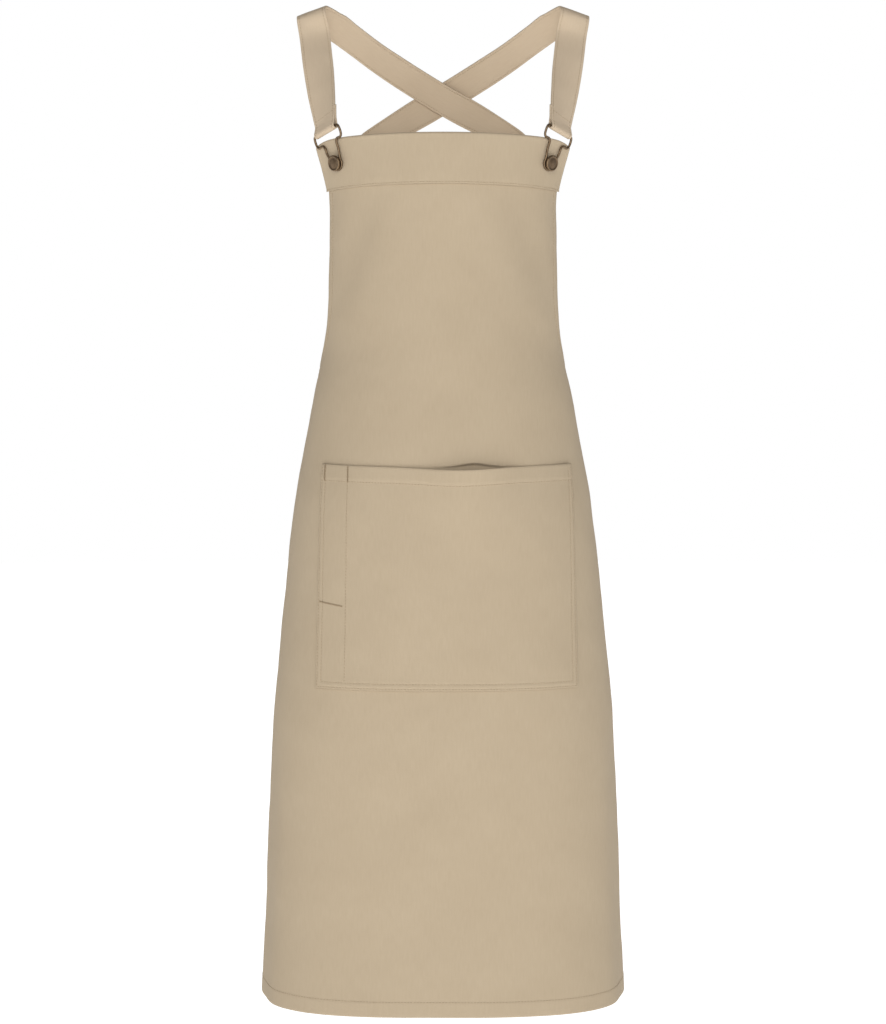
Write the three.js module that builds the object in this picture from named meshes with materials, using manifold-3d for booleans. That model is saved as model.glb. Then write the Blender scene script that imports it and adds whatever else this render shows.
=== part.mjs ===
// Cross back apron: bib and skirt in one cloth panel, a doubled band on the bib's top, a patch pocket,
// two straps that cross on the back, and a wire buckle and a tack button at each end of the band.
// Millimetres, +Z up. The origin lies between the shoulders, level with the underside of the straps.
// The front faces -Y and +X is the right-hand side seen from the front.
import * as THREE from "three";
import { mergeVertices } from "three/addons/utils/BufferGeometryUtils.js";
import Module from "manifold-3d";

// Driving sizes of the cloth
const apronLength = 865;
const shoulderToBib = 136;
const hemHalfWidth = 186.6;
const hemHalfDepth = 130;
const bibHalfFlat = 140;
const cornerHalfFlat = 236;
const hemHalfFlat = 300;
const armholeTop = 146;
const armholeDrop = 106;
const clothThickness = 1.2;
const pieceGap = 0.3;
const layerGap = 0.6;

// Band on the bib
const bandHeight = 50;
const bandHalfFlat = 142;
const bandCornerDrop = 9;
const bandSeamDrop = 3;
const bandCornerFlare = 7;
const bandFlarePower = 6;
const bandCurveShare = 0.35;
const bandCornerPower = 12;

// Pocket
const pocketWidth = 274;
const pocketFootWidth = 269;
const pocketHeight = 218;
const pocketBelowBib = 326;
const pocketShift = 6;
const pocketFootShift = 4.6;
const pocketTopSag = 2;
const mouthDip = 2.6;
const mouthDipAside = 14;
const mouthDipHalfWidth = 52;
const gapeAside = 31;
const gapeHalfWidth = 42;
const gapeStandOff = 9;
const gapeFade = 120;
const gapePower = 1.6;

// Straps
const strapWidth = 31;
const strapThickness = 1.6;
const strapFoldBack = 14;
const strapSewnLength = 30;
const strapEndInset = 3;
const shoulderAside = 133;
const shoulderBack = 8;
const shoulderSlope = 20;
const shoulderRadius = 16;
const shoulderInward = 3;
const crossingGap = 2;
const crossingFade = 50;

// Buckles and buttons
const wireRadius = 1.2;
const buckleHeight = 33.5;
const buckleRoll = 7;
const buckleAside = 19.5;
const buttonAside = 113;
const buttonBelowBib = 26;
const headRadius = 8;
const headThickness = 2.6;
const neckRadius = 5.4;
const neckLength = 4.2;
const postRadius = 1.6;
const tackRadius = 5;
const tackThickness = 1;

// Mesh fineness
const panelColumns = 36;
const bandColumns = 24;
const skirtRows = 13;
const skirtRowPower = 1.35;
const armholeRows = 9;
const armholeRowPower = 0.9;
const bibRows = 4;
const bandRows = 5;
const foldRows = 3;
const pocketColumns = 20;
const pocketRows = 10;
const strapColumns = 4;
const strapStepsEach = 2;
const wireSides = 6;
const wireSteps = 48;
const turnedSides = 16;
const drillSides = 12;
const drillLength = 20;
const probeStep = 2;

const totalDrop = shoulderToBib + apronLength;
const degree = Math.PI / 180;

// Sections of the form that the cloth hangs round. down is a share of the drop from shoulder to hem,
// wide a share of the hem's half width, front and back shares of its half depth, square the exponent.
const formSections = [
  { down: 0.000, wide: 0.80, front: 0.75, back: 0.12, square: 2.0 },
  { down: 0.012, wide: 0.80, front: 0.75, back: 0.41, square: 2.0 },
  { down: 0.045, wide: 0.80, front: 0.75, back: 0.67, square: 2.0 },
  { down: 0.079, wide: 0.80, front: 0.75, back: 0.82, square: 2.0 },
  { down: 0.108, wide: 0.80, front: 0.75, back: 0.84, square: 2.0 },
  { down: 0.136, wide: 0.71, front: 0.75, back: 0.745, square: 2.0 },
  { down: 0.188, wide: 0.645, front: 0.75, back: 0.69, square: 2.0 },
  { down: 0.245, wide: 0.645, front: 0.75, back: 0.67, square: 2.0 },
  { down: 0.295, wide: 0.655, front: 0.76, back: 0.68, square: 2.0 },
  { down: 0.345, wide: 0.655, front: 0.79, back: 0.72, square: 2.0 },
  { down: 0.397, wide: 0.71, front: 0.82, back: 0.78, square: 2.1 },
  { down: 0.450, wide: 0.76, front: 0.86, back: 0.86, square: 2.1 },
  { down: 0.500, wide: 0.81, front: 0.89, back: 0.90, square: 2.2 },
  { down: 0.602, wide: 0.87, front: 0.93, back: 0.95, square: 2.3 },
  { down: 0.705, wide: 0.925, front: 0.955, back: 0.97, square: 2.5 },
  { down: 0.809, wide: 0.957, front: 0.97, back: 0.98, square: 2.6 },
  { down: 0.913, wide: 0.975, front: 0.985, back: 0.99, square: 2.7 },
  { down: 1.000, wide: 1.00, front: 1.00, back: 1.00, square: 3.0 },
];

// Soft folds: each runs from (asideTop, top) to (asideEnd, end) and sinks the cloth by depth. Places
// aside are shares of the bib's half flat width, heights shares of the apron's length below the bib's
// top, reach is the fold's half width as a share of the bib's half flat width, depth is a share of it.
const folds = [
  { asideTop: 0.50, top: 0.05, asideEnd: 0.88, end: 0.21, reach: 0.16, depth: 0.018 },
  { asideTop: -0.50, top: 0.05, asideEnd: -0.88, end: 0.21, reach: 0.16, depth: 0.018 },
  { asideTop: 1.46, top: 0.66, asideEnd: 1.53, end: 1.02, reach: 0.17, depth: 0.022 },
  { asideTop: -1.46, top: 0.66, asideEnd: -1.53, end: 1.02, reach: 0.17, depth: 0.022 },
];

// Half of a buckle's wire, from the middle of its bar down to the foot of its loop. aside is a share of
// the half width at the bar, up a share of the height from the button to the bar.
const buckleHalf = [
  { aside: 0.00, up: 1.00 },
  { aside: 0.48, up: 1.00 },
  { aside: 0.93, up: 0.99 },
  { aside: 1.00, up: 0.90 },
  { aside: 0.98, up: 0.70 },
  { aside: 0.88, up: 0.64 },
  { aside: 0.58, up: 0.64 },
  { aside: 0.48, up: 0.56 },
  { aside: 0.46, up: 0.36 },
];

// The front stretch of a strap. along is a share of the way from the buckle's bar to the shoulder, and
// the rest is the way that the strap's face looks: aside, forward and up.
const strapFrontStretch = [
  { along: 0.30, aside: 0.45, forward: 0.85, up: 0.25 },
  { along: 0.55, aside: 0.18, forward: 0.93, up: 0.30 },
  { along: 0.80, aside: 0.12, forward: 0.88, up: 0.45 },
];

// The strap's arc over the shoulder: degrees back from its top, and a share of the step inwards.
const strapShoulder = [
  { angle: -50, inward: 0 },
  { angle: -15, inward: 0 },
  { angle: 25, inward: 1 },
];

// Places down the strap's sewn end, as shares of its sewn length below the skirt's corner.
const strapSewnPlaces = [-1.27, -0.4, 0.5, 1];

// The back stretch of a strap after the shoulder. round is the angle about the form in degrees from the
// middle of the back, negative before the crossing, down a share of the drop from shoulder to hem, and
// hug is 1 where the strap bends round the form across its width.
const strapBackRoute = [
  { round: -74, down: 0.012, hug: 0 },
  { round: -36.6, down: 0.047, hug: 1 },
  { round: 0, down: 0.0812, hug: 1 },
  { round: 31, down: 0.116, hug: 1 },
  { round: 49, down: 0.145, hug: 1 },
  { round: 59, down: 0.178, hug: 1 },
  { round: 63, down: 0.226, hug: 1 },
  { round: 66, down: 0.290, hug: 1 },
];

// A column of a table at a place between its rows, as a smooth curve through them.
function between(table, key, at, column) {
  const last = table.length - 1;
  const clamped = Math.min(Math.max(at, table[0][key]), table[last][key]);
  let i = 0;
  while (i < last - 1 && table[i + 1][key] < clamped) i += 1;
  const slope = (j) => {
    const before = table[Math.max(j - 1, 0)];
    const after = table[Math.min(j + 1, last)];
    return (after[column] - before[column]) / (after[key] - before[key]);
  };
  const low = table[i];
  const high = table[i + 1];
  const span = high[key] - low[key];
  const t = (clamped - low[key]) / span;
  const rise = high[column] - low[column];
  const bend = t * (1 - t) * (slope(i) * span * (1 - t) - slope(i + 1) * span * t - rise * (1 - 2 * t));
  return low[column] + rise * t + bend;
}

// The form's section at a height: its half width, front and back half depths and exponent.
function sectionAt(z) {
  const down = -z / totalDrop;
  return {
    wide: hemHalfWidth * between(formSections, "down", down, "wide"),
    front: hemHalfDepth * between(formSections, "down", down, "front"),
    back: hemHalfDepth * between(formSections, "down", down, "back"),
    square: between(formSections, "down", down, "square"),
  };
}

// A point of the section at an angle from the middle of the front.
function sectionPoint(section, angle) {
  const { wide, front, back, square } = section;
  const deep = Math.cos(angle) > 0 ? front : back;
  const across = Math.abs(Math.sin(angle) / wide) ** square;
  const along = Math.abs(Math.cos(angle) / deep) ** square;
  const radius = (across + along) ** (-1 / square);
  return new THREE.Vector2(radius * Math.sin(angle), -radius * Math.cos(angle));
}

const angleSteps = 180;
const sectionWalks = new Map();

// The section's points and the distance walked to each from the middle of the front.
function walkOf(z) {
  const key = z.toFixed(3);
  if (!sectionWalks.has(key)) {
    const section = sectionAt(z);
    const points = [];
    const walked = [0];
    for (let i = 0; i <= angleSteps; i += 1) {
      points.push(sectionPoint(section, (Math.PI * i) / angleSteps));
      if (i > 0) walked.push(walked[i - 1] + points[i].distanceTo(points[i - 1]));
    }
    sectionWalks.set(key, { points, walked });
  }
  return sectionWalks.get(key);
}

// How far the soft folds sink the cloth at a place on it.
function foldDepth(aside, z) {
  const down = (-z - shoulderToBib) / apronLength;
  let sunk = 0;
  for (const fold of folds) {
    const t = (down - fold.top) / (fold.end - fold.top);
    if (t <= 0 || t >= 1) continue;
    const middle = THREE.MathUtils.lerp(fold.asideTop, fold.asideEnd, t) * bibHalfFlat;
    const off = (aside - middle) / (fold.reach * bibHalfFlat);
    const along = Math.min(1, 4 * t * (1 - t) + (fold.end > 1 ? t * t : 0));
    sunk += fold.depth * bibHalfFlat * along * Math.exp(-off * off);
  }
  return sunk;
}

// How far the band's corners are drawn outwards by the straps, and the cloth under them.
function cornerFlare(aside, z) {
  const up = Math.max(0, 1 + (z + shoulderToBib) / bandHeight);
  return bandCornerFlare * up * Math.min(1, Math.abs(aside) / bandHalfFlat) ** bandFlarePower;
}

// A place on the cloth: aside is the distance round from the middle of the front, positive to +X,
// out the distance off the cloth's outer face. It gives the point and the level outward normal.
function onForm(aside, z, out = 0) {
  const { points, walked } = walkOf(z);
  const side = aside < 0 ? -1 : 1;
  const wanted = Math.min(Math.abs(aside), walked[angleSteps]);
  let i = 1;
  while (i < angleSteps && walked[i] < wanted) i += 1;
  const t = (wanted - walked[i - 1]) / (walked[i] - walked[i - 1]);
  const here = points[i - 1].clone().lerp(points[i], t);
  const before = points[Math.max(i - 2, 0)];
  const after = points[Math.min(i + 1, angleSteps)];
  const run = after.clone().sub(before).normalize();
  const normal = new THREE.Vector3(side * run.y, -run.x, 0).normalize();
  const point = new THREE.Vector3(side * here.x, here.y, z);
  const shift = out + cornerFlare(aside, z) - foldDepth(aside, z);
  return { point: point.addScaledVector(normal, shift), normal };
}

// Half the flat width of the panel at a height: the bib, then the armhole's curve, then the skirt.
const armholeStart = -shoulderToBib - armholeTop;
const curveFullness = 2.6;
const cornerAngle = 62 * degree;
const armholeReach = (cornerHalfFlat - bibHalfFlat) / (1 - Math.cos(cornerAngle) ** (2 / curveFullness));

function armholePoint(angle) {
  const across = Math.cos(angle) ** (2 / curveFullness);
  const downward = Math.sin(angle) ** (2 / curveFullness);
  return { aside: bibHalfFlat + armholeReach * (1 - across), z: armholeStart - armholeDrop * downward };
}

const corner = armholePoint(cornerAngle);
const hemZ = -totalDrop;

function skirtHalfFlat(z) {
  return THREE.MathUtils.mapLinear(z, corner.z, hemZ, corner.aside, hemHalfFlat);
}

// Rows of the panel from the hem up: height and half flat width.
function panelRows() {
  const rows = [];
  for (let i = 0; i < skirtRows; i += 1) {
    const z = THREE.MathUtils.lerp(hemZ, corner.z, 1 - (1 - i / skirtRows) ** skirtRowPower);
    rows.push({ z, half: skirtHalfFlat(z) });
  }
  for (let i = 0; i < armholeRows; i += 1) {
    const place = armholePoint(cornerAngle * (1 - i / armholeRows) ** armholeRowPower);
    rows.push({ z: place.z, half: place.aside });
  }
  const bandFoot = -shoulderToBib - bandHeight;
  for (let i = 0; i < bibRows; i += 1) {
    rows.push({ z: THREE.MathUtils.lerp(armholeStart, bandFoot, i / bibRows), half: bibHalfFlat });
  }
  const top = -shoulderToBib - bandCornerDrop - clothThickness - 2 * pieceGap;
  for (let i = 0; i <= bandRows; i += 1) {
    rows.push({ z: THREE.MathUtils.lerp(bandFoot, top, i / bandRows), half: bibHalfFlat });
  }
  return rows;
}

// A closed sheet between two surfaces. Each surface gives a point for a column and a row, and a column
// crossed with a row points out of the outer one.
function sheetGeometry(columns, rows, outerAt, innerAt) {
  const positions = [];
  const wide = columns + 1;
  for (const surface of [outerAt, innerAt]) {
    for (let r = 0; r <= rows; r += 1) {
      for (let c = 0; c <= columns; c += 1) positions.push(...surface(c / columns, r).toArray());
    }
  }
  const inner = wide * (rows + 1);
  const faces = [];
  const quad = (a, b, c, d) => faces.push(a, b, c, a, c, d);
  for (let r = 0; r < rows; r += 1) {
    for (let c = 0; c < columns; c += 1) {
      const a = r * wide + c;
      quad(a, a + 1, a + 1 + wide, a + wide);
      quad(inner + a, inner + a + wide, inner + a + 1 + wide, inner + a + 1);
    }
    const left = r * wide;
    const right = left + columns;
    quad(left, left + wide, inner + left + wide, inner + left);
    quad(right + wide, right, inner + right, inner + right + wide);
  }
  const top = rows * wide;
  for (let c = 0; c < columns; c += 1) {
    quad(c + 1, c, inner + c, inner + c + 1);
    quad(top + c, top + c + 1, inner + top + c + 1, inner + top + c);
  }
  const geometry = new THREE.BufferGeometry();
  geometry.setAttribute("position", new THREE.Float32BufferAttribute(positions, 3));
  geometry.setIndex(faces);
  return geometry;
}

const wasm = await Module();
wasm.setup();

// A closed geometry as a manifold solid.
function solidOf(geometry) {
  const bare = geometry.clone();
  bare.deleteAttribute("normal");
  bare.deleteAttribute("uv");
  const merged = mergeVertices(bare, 1e-4);
  return new wasm.Manifold(
    new wasm.Mesh({
      numProp: 3,
      vertProperties: new Float32Array(merged.attributes.position.array),
      triVerts: new Uint32Array(merged.index.array),
    }),
  );
}

function geometryOf(solid) {
  const mesh = solid.getMesh();
  const geometry = new THREE.BufferGeometry();
  geometry.setAttribute("position", new THREE.Float32BufferAttribute(mesh.vertProperties, 3));
  geometry.setIndex(Array.from(mesh.triVerts));
  return geometry;
}

// The direction square to the cloth, lean and all, at a place on it.
function trueNormal(aside, z) {
  const run = onForm(aside + probeStep, z).point.sub(onForm(aside - probeStep, z).point);
  const rise = onForm(aside, z + probeStep).point.sub(onForm(aside, z - probeStep).point);
  return run.cross(rise).normalize();
}

// The button's seat on the cloth, with the directions of the buckle that hangs from it: up runs along
// the pull towards the shoulder, aside across it away from the middle, out off the cloth.
function buckleFrame(side) {
  const seatAside = side * buttonAside;
  const seatZ = -shoulderToBib - buttonBelowBib;
  const origin = onForm(seatAside, seatZ).point;
  const out = trueNormal(seatAside, seatZ);
  const shoulder = new THREE.Vector3(side * shoulderAside, shoulderBack, 0);
  const up = shoulder.sub(origin).projectOnPlane(out).normalize();
  up.applyAxisAngle(out, side * buckleRoll * degree);
  const aside = new THREE.Vector3().crossVectors(up, out).multiplyScalar(side).normalize();
  return { origin, up, aside, out };
}

function inFrame(frame, aside, up, out) {
  return frame.origin
    .clone()
    .addScaledVector(frame.aside, aside)
    .addScaledVector(frame.up, up)
    .addScaledVector(frame.out, out);
}

const bandOut = layerGap + clothThickness;
const wireOut = bandOut + wireRadius + 3 * pieceGap;
const loopRadius = neckRadius + wireRadius + 2 * pieceGap;

// Holes for a button's post, through band and panel alike.
function cutPostHoles(geometry) {
  let solid = solidOf(geometry);
  for (const side of [-1, 1]) {
    const frame = buckleFrame(side);
    const radius = postRadius + pieceGap;
    const drill = new THREE.CylinderGeometry(radius, radius, drillLength, drillSides);
    drill.applyQuaternion(new THREE.Quaternion().setFromUnitVectors(new THREE.Vector3(0, 1, 0), frame.out));
    drill.translate(...frame.origin.toArray());
    solid = solid.subtract(solidOf(drill));
  }
  return geometryOf(solid);
}

// Bib and skirt, one panel.
function apronPanel() {
  const rows = panelRows();
  const place = (across, row, out) => {
    const { z, half } = rows[row];
    return onForm((2 * across - 1) * half, z, out).point;
  };
  const sheet = sheetGeometry(
    panelColumns,
    rows.length - 1,
    (across, row) => place(across, row, 0),
    (across, row) => place(across, row, -clothThickness),
  );
  return cutPostHoles(sheet);
}

// The band's upper and lower edges drop towards its ends.
function bandEdges(aside) {
  const share = Math.abs(aside) / bandHalfFlat;
  const curve = bandCurveShare * share ** 2 + (1 - bandCurveShare) * share ** bandCornerPower;
  const top = -shoulderToBib - bandCornerDrop * curve;
  const foot = -shoulderToBib - bandHeight - bandSeamDrop * share ** 2;
  return { top, foot };
}

// The doubled band, folded over the panel's top: a front ply, the fold and a back ply.
function bibBand() {
  const middle = -clothThickness / 2;
  const outerHalf = bandOut - middle;
  const innerHalf = outerHalf - clothThickness;
  const profile = (half) => {
    const path = [];
    for (let i = 0; i < bandRows; i += 1) path.push({ up: i / bandRows, rise: 0, out: middle + half });
    for (let i = 0; i <= foldRows; i += 1) {
      const angle = (Math.PI * i) / foldRows;
      path.push({ up: 1, rise: half * Math.sin(angle) - outerHalf, out: middle + half * Math.cos(angle) });
    }
    for (let i = bandRows - 1; i >= 0; i -= 1) path.push({ up: i / bandRows, rise: 0, out: middle - half });
    return path;
  };
  const surface = (path) => (across, row) => {
    const aside = (2 * across - 1) * bandHalfFlat;
    const { top, foot } = bandEdges(aside);
    const { up, rise, out } = path[row];
    const shoulderOfPly = top - outerHalf;
    const z = THREE.MathUtils.lerp(foot, shoulderOfPly, up) + (up === 1 ? rise + outerHalf : 0);
    return onForm(aside, z, out).point;
  };
  const rows = 2 * bandRows + foldRows;
  const sheet = sheetGeometry(bandColumns, rows, surface(profile(outerHalf)), surface(profile(innerHalf)));
  return cutPostHoles(sheet);
}

// How far the pocket's mouth stands open at a place, as a share of its most.
function layerGape(aside, fromTop) {
  const off = (aside - gapeAside) / gapeHalfWidth;
  const across = Math.exp(-off * off * gapePower);
  const downward = Math.max(0, 1 - fromTop / gapeFade) ** 2;
  return across * downward;
}

const pocketTop = -shoulderToBib - pocketBelowBib;

function pocketSurface(out) {
  return (across, row) => {
    const share = 2 * across - 1;
    const down = 1 - row / pocketRows;
    const width = THREE.MathUtils.lerp(pocketWidth, pocketFootWidth, down);
    const aside = THREE.MathUtils.lerp(pocketShift, pocketFootShift, down) + (share * width) / 2;
    const fromTop = pocketHeight * down;
    const off = (aside - mouthDipAside) / mouthDipHalfWidth;
    const dip = mouthDip * Math.exp(-off * off * gapePower);
    const top = pocketTop + pocketTopSag * share ** 2 - dip;
    const z = THREE.MathUtils.lerp(top, pocketTop - pocketHeight, fromTop / pocketHeight);
    return onForm(aside, z, out + gapeStandOff * layerGape(aside, fromTop)).point;
  };
}

function pocket() {
  const outer = pocketSurface(layerGap + clothThickness);
  const inner = pocketSurface(layerGap);
  return sheetGeometry(pocketColumns, pocketRows, outer, inner);
}

// The outward direction of the form at an angle from the middle of the back, leaning with its slope.
function backPoint(round, down) {
  const z = -down * totalDrop;
  const angle = Math.PI - round;
  const at = (a, height) => {
    const flat = sectionPoint(sectionAt(height), a);
    return new THREE.Vector3(flat.x, flat.y, height);
  };
  const run = at(angle - degree, z).sub(at(angle + degree, z));
  const rise = at(angle, z + probeStep).sub(at(angle, z - probeStep));
  return { point: at(angle, z), normal: rise.cross(run).normalize() };
}

// The middle line of a strap with the direction that its outer face looks, from the sewn end of its
// fold-back, round the buckle's bar, over the shoulder and across the back to the skirt's corner.
function strapLine(side) {
  const frame = buckleFrame(side);
  const bar = inFrame(frame, 0, buckleHeight, wireOut);
  const slope = shoulderSlope * degree;
  const topZ = strapThickness / 2 - (strapWidth / 2) * Math.sin(slope);
  const top = new THREE.Vector3(side * shoulderAside, shoulderBack, topZ);
  const pull = top.clone().sub(bar).projectOnPlane(frame.aside).normalize();
  const across = frame.aside.clone();
  const facing = new THREE.Vector3().crossVectors(across, pull).multiplyScalar(-side).normalize();
  if (facing.dot(frame.out) < 0) facing.negate();
  const ply = strapThickness / 2 + pieceGap / 2;
  const turn = wireRadius + pieceGap + strapThickness / 2;
  const line = [];
  const atBar = (up, out, normal) => {
    line.push({
      point: bar.clone().addScaledVector(pull, up).addScaledVector(facing, out),
      normal,
      hug: 0,
    });
  };
  const back = facing.clone().negate();
  const meet = 4 * turn;
  const parting = meet / 2;
  atBar(meet + strapFoldBack, -ply, back);
  atBar(meet + strapFoldBack / 2, -ply, back);
  atBar(meet, -ply, back);
  atBar(parting, -(ply + turn) / 2, back);
  for (const angle of [0, 45, 90, 135, 180]) {
    const normal = facing.clone().multiplyScalar(-Math.cos(angle * degree));
    normal.addScaledVector(pull, -Math.sin(angle * degree));
    atBar(-turn * Math.sin(angle * degree), -turn * Math.cos(angle * degree), normal);
  }
  atBar(parting, (ply + turn) / 2, facing);
  atBar(meet, ply, facing);
  const meeting = line[line.length - 1].point;
  for (const { along, aside, forward, up } of strapFrontStretch) {
    const point = meeting.clone().lerp(top, along);
    line.push({ point, normal: new THREE.Vector3(side * aside, -forward, up).normalize(), hug: 0 });
  }
  for (const { angle, inward } of strapShoulder) {
    const back = Math.sin(angle * degree);
    const up = Math.cos(angle * degree);
    const x = side * (shoulderAside - inward * shoulderInward);
    line.push({
      point: new THREE.Vector3(x, shoulderBack + shoulderRadius * back, topZ - shoulderRadius * (1 - up)),
      normal: new THREE.Vector3(side * Math.tan(slope), back, up),
      hug: 0,
    });
  }
  const crossingOut = strapThickness / 2 + crossingGap / 2;
  for (const { round, down, hug } of strapBackRoute) {
    const { point, normal } = backPoint(-side * round * degree, down);
    const near = Math.max(0, 1 - Math.abs(round) / crossingFade);
    const layer = side * crossingOut * Math.min(1, 2 * near);
    line.push({ point: point.addScaledVector(normal, layer), normal, hug });
  }
  const endAside = corner.aside - strapWidth / 2 - strapEndInset;
  const sewnOut = -clothThickness - layerGap - 2 * pieceGap - strapThickness / 2;
  for (const below of strapSewnPlaces) {
    line.push({ ...onForm(-side * endAside, corner.z - below * strapSewnLength, sewnOut), hug: 1 });
  }
  return line;
}

// How far the form's surface lies from the upright axis, on the side that a point is on.
function formRadius(point) {
  const angle = Math.atan2(Math.abs(point.x), -point.y);
  return sectionPoint(sectionAt(point.z), angle).length();
}

// A strap of constant width along its line. Where it hugs the form it bends round it across its width.
function strap(side) {
  const line = strapLine(side);
  const points = new THREE.CatmullRomCurve3(line.map((l) => l.point), false, "centripetal");
  const normals = new THREE.CatmullRomCurve3(line.map((l) => l.normal), false, "centripetal");
  const rows = (line.length - 1) * strapStepsEach;
  const frames = [];
  for (let i = 0; i <= rows; i += 1) {
    const t = i / rows;
    const point = points.getPoint(t);
    const along = points.getTangent(t);
    const normal = normals.getPoint(t).projectOnPlane(along).normalize();
    const low = Math.min(Math.floor(i / strapStepsEach), line.length - 2);
    const hug = THREE.MathUtils.lerp(line[low].hug, line[low + 1].hug, i / strapStepsEach - low);
    const layer = Math.hypot(point.x, point.y) - formRadius(point);
    frames.push({ point, normal, hug, layer, across: new THREE.Vector3().crossVectors(along, normal) });
  }
  const surface = (out) => (across, row) => {
    const frame = frames[row];
    const place = frame.point.clone().addScaledVector(frame.across, (across - 0.5) * strapWidth);
    const radius = Math.hypot(place.x, place.y);
    const moved = frame.hug * (formRadius(place) + frame.layer - radius);
    place.addScaledVector(new THREE.Vector3(place.x, place.y, 0).normalize(), moved);
    return place.addScaledVector(frame.normal, out);
  };
  return sheetGeometry(strapColumns, rows, surface(strapThickness / 2), surface(-strapThickness / 2));
}

// The bent wire of a buckle: a bar for the strap, two shoulders, a neck and a loop round the button.
function buckle(side) {
  const frame = buckleFrame(side);
  const half = buckleHalf.map(({ aside, up }) => ({
    aside: aside * buckleAside,
    up: up * buckleHeight,
    out: wireOut,
  }));
  for (const angle of [20, -20, -55]) {
    half.push({
      aside: loopRadius * Math.cos(angle * degree),
      up: loopRadius * Math.sin(angle * degree),
      out: wireOut,
    });
  }
  const foot = { aside: 0, up: -loopRadius, out: wireOut };
  const mirrored = half.slice(1).map((p) => ({ ...p, aside: -p.aside })).reverse();
  const route = [...half, foot, ...mirrored].map((p) => inFrame(frame, p.aside, p.up, p.out));
  const path = new THREE.CatmullRomCurve3(route, true, "centripetal");
  return new THREE.TubeGeometry(path, wireSteps, wireRadius, wireSides, true);
}

// A tack button turned about its post: the tack behind the cloth, the post, the neck and the head.
function button() {
  const tackFace = -(2 * clothThickness + layerGap) - 2 * pieceGap;
  const seat = bandOut + pieceGap;
  const headFoot = seat + neckLength;
  const headTop = headFoot + headThickness;
  const profile = [
    [0, tackFace - tackThickness],
    [tackRadius, tackFace - tackThickness],
    [tackRadius, tackFace],
    [postRadius, tackFace],
    [postRadius, seat],
    [neckRadius, seat],
    [neckRadius, headFoot],
    [headRadius * 0.93, headFoot],
    [headRadius, headFoot + headThickness * 0.3],
    [headRadius, headFoot + headThickness * 0.62],
    [headRadius * 0.86, headTop - headThickness * 0.1],
    [headRadius * 0.72, headTop - headThickness * 0.22],
    [headRadius * 0.4, headTop - headThickness * 0.04],
    [0, headTop],
  ];
  return new THREE.LatheGeometry(profile.map(([r, h]) => new THREE.Vector2(r, h)), turnedSides);
}

const cottonTwill = new THREE.MeshStandardMaterial({ color: 0xc4b29b, roughness: 0.95, metalness: 0 });
const strapTwill = new THREE.MeshStandardMaterial({ color: 0xbdab93, roughness: 0.95, metalness: 0 });
const agedBrass = new THREE.MeshStandardMaterial({ color: 0x74634a, roughness: 0.42, metalness: 0.9 });

const apron = new THREE.Group();

function addPiece(name, geometry, material) {
  const piece = new THREE.Mesh(geometry, material);
  piece.name = name;
  apron.add(piece);
  return piece;
}

addPiece("apron_panel", apronPanel(), cottonTwill);
addPiece("bib_band", bibBand(), cottonTwill);
addPiece("pocket", pocket(), cottonTwill);

for (const [side, word] of [[-1, "left"], [1, "right"]]) {
  addPiece(`strap_${word}`, strap(side), strapTwill);
  addPiece(`buckle_${word}`, buckle(side), agedBrass);
  const frame = buckleFrame(side);
  const head = addPiece(`button_${word}`, button(), agedBrass);
  head.position.copy(frame.origin);
  head.quaternion.setFromUnitVectors(new THREE.Vector3(0, 1, 0), frame.out);
}

export default apron;
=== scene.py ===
import math
from bisect import bisect_left

import bmesh
import bpy
from mathutils import Matrix, Quaternion, Vector, noise


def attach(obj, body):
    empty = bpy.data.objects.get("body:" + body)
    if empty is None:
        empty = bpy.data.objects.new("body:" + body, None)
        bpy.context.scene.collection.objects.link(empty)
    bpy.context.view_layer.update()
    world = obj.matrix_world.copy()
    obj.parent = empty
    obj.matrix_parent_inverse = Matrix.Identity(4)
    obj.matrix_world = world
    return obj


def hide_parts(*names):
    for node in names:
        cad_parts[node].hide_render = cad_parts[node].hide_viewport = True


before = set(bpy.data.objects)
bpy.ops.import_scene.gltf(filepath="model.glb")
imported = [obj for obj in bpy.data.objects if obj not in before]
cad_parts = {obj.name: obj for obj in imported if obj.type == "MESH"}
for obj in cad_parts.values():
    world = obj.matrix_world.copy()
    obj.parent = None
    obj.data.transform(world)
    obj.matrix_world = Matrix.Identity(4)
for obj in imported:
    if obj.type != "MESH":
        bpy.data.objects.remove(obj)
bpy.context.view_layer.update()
scene = bpy.context.scene
mm = 0.001  # every size below is in millimetres, as in the part's own source
degree = math.pi / 180

# Camera, at the photograph's angle

cameraSizes = {"aimDown": 512, "distance": 2400, "elevation": 3.2, "lens": 82.48}


def makeCamera(sizes):
    data = bpy.data.cameras.new("camera")
    data.lens = sizes["lens"]
    data.sensor_width = 36
    data.clip_end = 100
    camera = bpy.data.objects.new("camera", data)
    scene.collection.objects.link(camera)
    tilt = sizes["elevation"] * degree
    back = Vector((0, -math.cos(tilt), math.sin(tilt))) * sizes["distance"]
    camera.location = (Vector((0, 0, -sizes["aimDown"])) + back) * mm
    camera.rotation_euler = (math.pi / 2 - tilt, 0, 0)
    scene.camera = camera


makeCamera(cameraSizes)
print("camera ready")

# The form that the cloth hangs round, the same as the part's solids follow

form = {
    "length": 865,
    "shoulderToBib": 136,
    "hemHalfWidth": 186.6,
    "hemHalfDepth": 130,
    "bibHalfFlat": 140,
    "cornerHalfFlat": 236,
    "hemHalfFlat": 300,
    "armholeTop": 146,
    "armholeDrop": 106,
    "armholeFullness": 2.6,
    "armholeTurn": 62,
    "cloth": 1.2,
    "layerGap": 0.6,
    "pieceGap": 0.3,
}
bibTop = -form["shoulderToBib"]
hemZ = bibTop - form["length"]

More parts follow.
